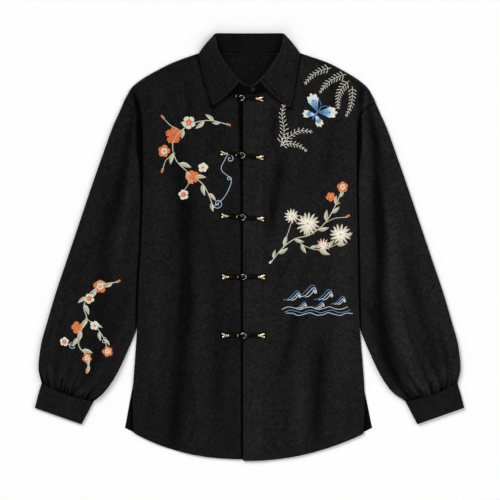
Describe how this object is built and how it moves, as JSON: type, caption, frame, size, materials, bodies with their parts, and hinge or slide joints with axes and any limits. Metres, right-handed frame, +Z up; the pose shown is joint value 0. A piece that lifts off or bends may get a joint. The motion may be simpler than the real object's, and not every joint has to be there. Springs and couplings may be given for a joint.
{
  "type": "long-sleeved shirt with pointed collar and frog fastenings",
  "caption": "Black long-sleeved shirt laid flat, with a pointed collar, full sleeves gathered into plain cuffs, side vents, frog fastenings and embroidery.",
  "frame": {"origin": "on the surface it lies on, under the middle of the shirt's width and length", "axes": "+X to the wearer's left, +Y to the collar, +Z up out of the surface, through the back and then the front"},
  "size_m": [0.794, 0.7898, 0.028],
  "materials": {
    "cloth_black": "matt black crepe with a mottled slub grain, embroidered in coral, cream, sage, blue and white",
    "cord_black": "smooth black braided cord with a slight sheen",
    "button_black": "polished black",
    "pale_gold": "polished pale gold"
  },
  "bodies": {
    "root": {"front_left": "cloth_black", "front_right": "cloth_black", "placket": "cloth_black", "back": "cloth_black", "collar_stand": "cloth_black", "collar_leaf": "cloth_black", "sleeve_left": "cloth_black", "sleeve_right": "cloth_black", "cuff_left": "cloth_black", "cuff_right": "cloth_black", "collar_button": "button_black", "fastening_1_loop": "cord_black", "fastening_1_tab": "cord_black", "fastening_1_button": "button_black", "fastening_1_bezel": "pale_gold", "fastening_1_band": "pale_gold", "fastening_1_tip_left": "pale_gold", "fastening_1_tip_right": "pale_gold", "fastening_2_loop": "cord_black", "fastening_2_tab": "cord_black", "fastening_2_button": "button_black", "fastening_2_bezel": "pale_gold", "fastening_2_band": "pale_gold", "fastening_2_tip_left": "pale_gold", "fastening_2_tip_right": "pale_gold", "fastening_3_loop": "cord_black", "fastening_3_tab": "cord_black", "fastening_3_button": "button_black", "fastening_3_bezel": "pale_gold", "fastening_3_band": "pale_gold", "fastening_3_tip_left": "pale_gold", "fastening_3_tip_right": "pale_gold", "fastening_4_loop": "cord_black", "fastening_4_tab": "cord_black", "fastening_4_button": "button_black", "fastening_4_bezel": "pale_gold", "fastening_4_band": "pale_gold", "fastening_4_tip_left": "pale_gold", "fastening_4_tip_right": "pale_gold", "fastening_5_loop": "cord_black", "fastening_5_tab": "cord_black", "fastening_5_button": "button_black", "fastening_5_bezel": "pale_gold", "fastening_5_band": "pale_gold", "fastening_5_tip_left": "pale_gold", "fastening_5_tip_right": "pale_gold"}
  },
  "joints": []
}
